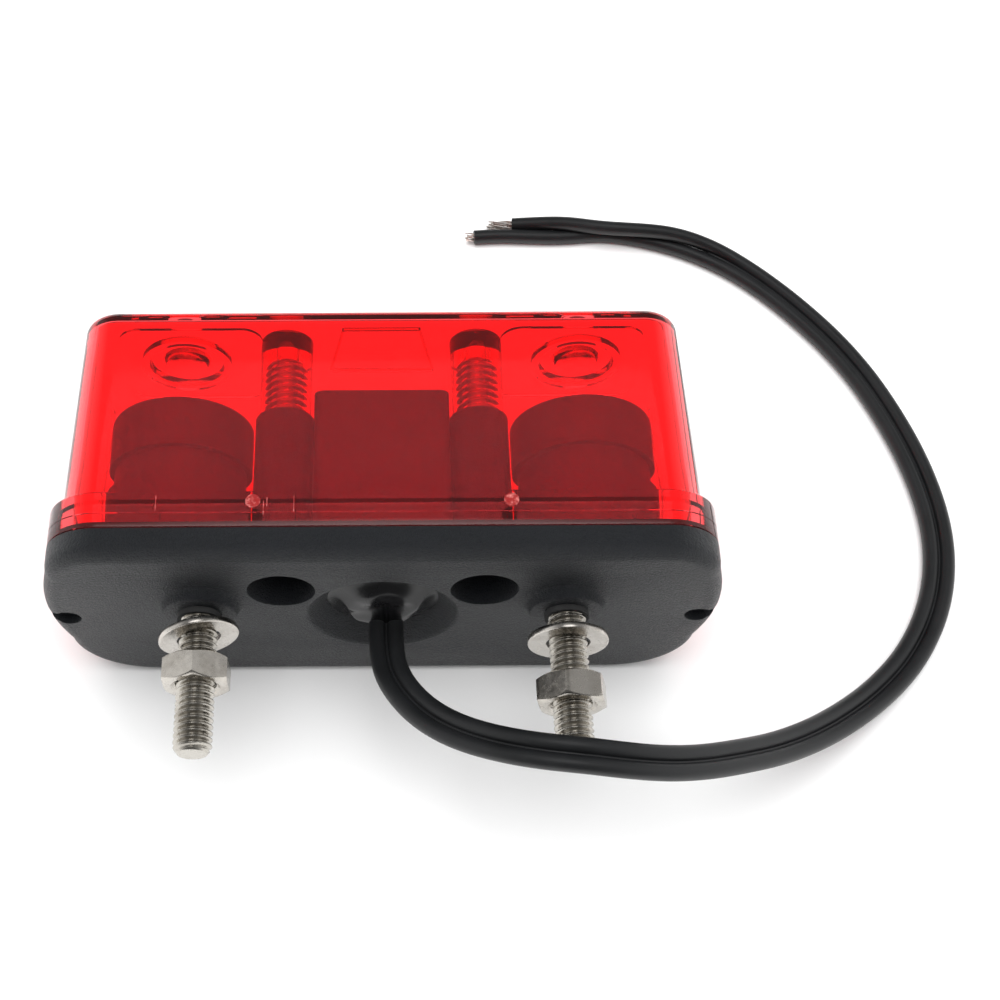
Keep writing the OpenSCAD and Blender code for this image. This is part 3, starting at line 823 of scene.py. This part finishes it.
well_black = speckled("well_black", (0.007, 0.006, 0.007), (0.014, 0.012, 0.013), 0.6)
rubber = speckled("seal_black", (0.015, 0.015, 0.015), (0.03, 0.03, 0.03), 0.7)
board_white = speckled("board_white", (0.5, 0.52, 0.48), (0.62, 0.63, 0.6), 0.35)
resin = speckled("led_resin", (0.8, 0.72, 0.5), (0.9, 0.85, 0.7), 0.15)
component = speckled("component", (0.1, 0.14, 0.2), (0.2, 0.26, 0.33), 0.3)
for node in ("led_well_left", "led_well_right", "centre_block"):
    repaint(node, well_black)
for node in ("lens_seal", "collar_left", "collar_right", "inner_leads"):
    repaint(node, rubber)
repaint("led_board", board_white)
for node in ("tail_led_left", "tail_led_right", "stop_leds"):
    repaint(node, resin)
for node in ("resistors", "diode"):
    repaint(node, component)


PANEL_TAPER, PANEL_GAP, RIB_HALF, RIB_DEPTH = 2.4, 0.7, 0.16, 0.5


def panel_ribs():
    """The reflector panel as an open frame of ribs, narrower at its top, just behind the lens front."""
    top, bottom = panel_high.z / MM, panel_low.z / MM
    wide = panel_high.x / MM
    verts, faces = [], []

    def half(z):
        return wide - PANEL_TAPER * (z - bottom) / (top - bottom)

    def bar(ends, size):
        k = len(verts)
        upright = abs(ends[0][1] - ends[1][1]) > 1
        for x, z in ends:
            for dx, dy in ((-size, 0), (size, 0), (size, RIB_DEPTH), (-size, RIB_DEPTH)):
                verts.append((x + dx, inside - PANEL_GAP + dy, z if upright else z + dx))
        faces.extend([(k, k + 1, k + 5, k + 4), (k + 1, k + 2, k + 6, k + 5), (k + 2, k + 3, k + 7, k + 6),
                      (k + 3, k, k + 4, k + 7), (k, k + 3, k + 2, k + 1), (k + 4, k + 5, k + 6, k + 7)])

    for side in (-1, 1):
        bar(((side * half(bottom), bottom), (side * half(top), top)), RIB_HALF)
    for z in (bottom, top):
        bar(((-half(z), z), (half(z), z)), RIB_HALF)
    ribs = piece("panel_ribs", verts, faces, "lamp", "red_panel", red_clear)
    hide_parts("reflex_panel")


panel_ribs()

# ---------------------------------------------------------------- stage

mat, nt, bsdf, out = new_material("floor_white")
bsdf.inputs["Base Color"].default_value = (0.92, 0.92, 0.92, 1)
bsdf.inputs["Roughness"].default_value = 0.9
bsdf.inputs["Specular IOR Level"].default_value = 0.1
mesh = bpy.data.meshes.new("floor")
FLOOR_HALF, FLOOR_Z = 3, -0.0001
corners = [(x * FLOOR_HALF, y * FLOOR_HALF, FLOOR_Z) for x, y in ((-1, -1), (1, -1), (1, 1), (-1, 1))]
mesh.from_pydata(corners, [], [(0, 1, 2, 3)])
mesh.materials.append(mat)
floor = bpy.data.objects.new("floor", mesh)
bpy.context.scene.collection.objects.link(floor)
floor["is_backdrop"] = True


def studio_world():
    """Soft room light: dim on the viewer's side, brighter at both sides, brightest near the zenith."""
    world = bpy.data.worlds.new("studio")
    world.use_nodes = True
    nt = world.node_tree
    split = add(nt, "ShaderNodeSeparateXYZ")
    nt.links.new(add(nt, "ShaderNodeTexCoord").outputs["Generated"], split.inputs[0])
    sideways = add(nt, "ShaderNodeMath", operation="ABSOLUTE")
    nt.links.new(split.outputs["X"], sideways.inputs[0])
    parts = [remap(nt, split.outputs["Y"], -0.7, 0.15, 0.13, 0.22),
             remap(nt, sideways.outputs[0], 0.5, 0.85, 0, 0.7),
             remap(nt, split.outputs["Z"], 0.945, 0.985, 0, 2)]
    for part in parts[1:]:
        total = add(nt, "ShaderNodeMath", operation="ADD")
        nt.links.new(parts[0], total.inputs[0])
        nt.links.new(part, total.inputs[1])
        parts[0] = total.outputs[0]
    background = nt.nodes["Background"]
    background.inputs["Color"].default_value = (1, 1, 1, 1)
    nt.links.new(parts[0], background.inputs["Strength"])
    bpy.context.scene.world = world


def softbox(name, place, target, size, power, color=(1, 1, 1)):
    data = bpy.data.lights.new(name, "AREA")
    data.shape = "RECTANGLE"
    data.size, data.size_y = size
    data.energy = power
    data.color = color
    obj = bpy.data.objects.new(name, data)
    obj.location = place
    obj.rotation_mode = "QUATERNION"
    obj.rotation_quaternion = (Vector(target) - Vector(place)).to_track_quat("-Z", "Y")
    obj.visible_glossy = False
    bpy.context.scene.collection.objects.link(obj)


studio_world()
softbox("top_box", (0, 0.1, 1.5), (0, 0.02, 0), (1.9, 1.9), 36)

low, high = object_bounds()
